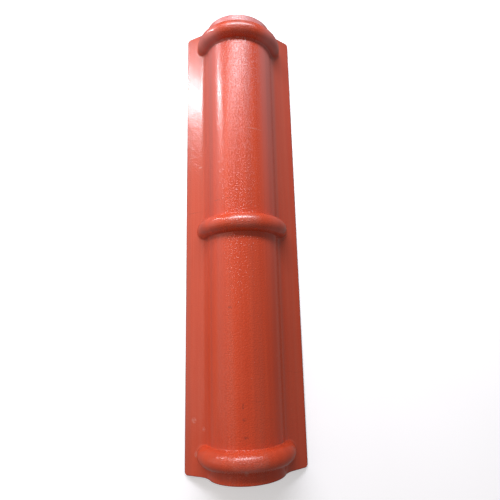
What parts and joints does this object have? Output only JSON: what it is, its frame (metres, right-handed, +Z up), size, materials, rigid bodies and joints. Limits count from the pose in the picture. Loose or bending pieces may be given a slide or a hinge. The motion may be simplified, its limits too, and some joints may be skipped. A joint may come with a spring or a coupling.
{
  "type": "ridge cap",
  "caption": "Ribbed half-round PVC roof ridge cap with flat sloping side wings and raised bands where the lengths lap.",
  "frame": {"origin": "middle of the cap in plan, on the plane that the outer edges of both wings rest on", "axes": "+Y along the ridge, +X across it towards the right wing, +Z up out of the barrel"},
  "size_m": [0.264, 1.05, 0.1299],
  "materials": {
    "sheet": "satin"
  },
  "bodies": {
    "root": {"ridge_cap": "sheet"}
  },
  "joints": []
}
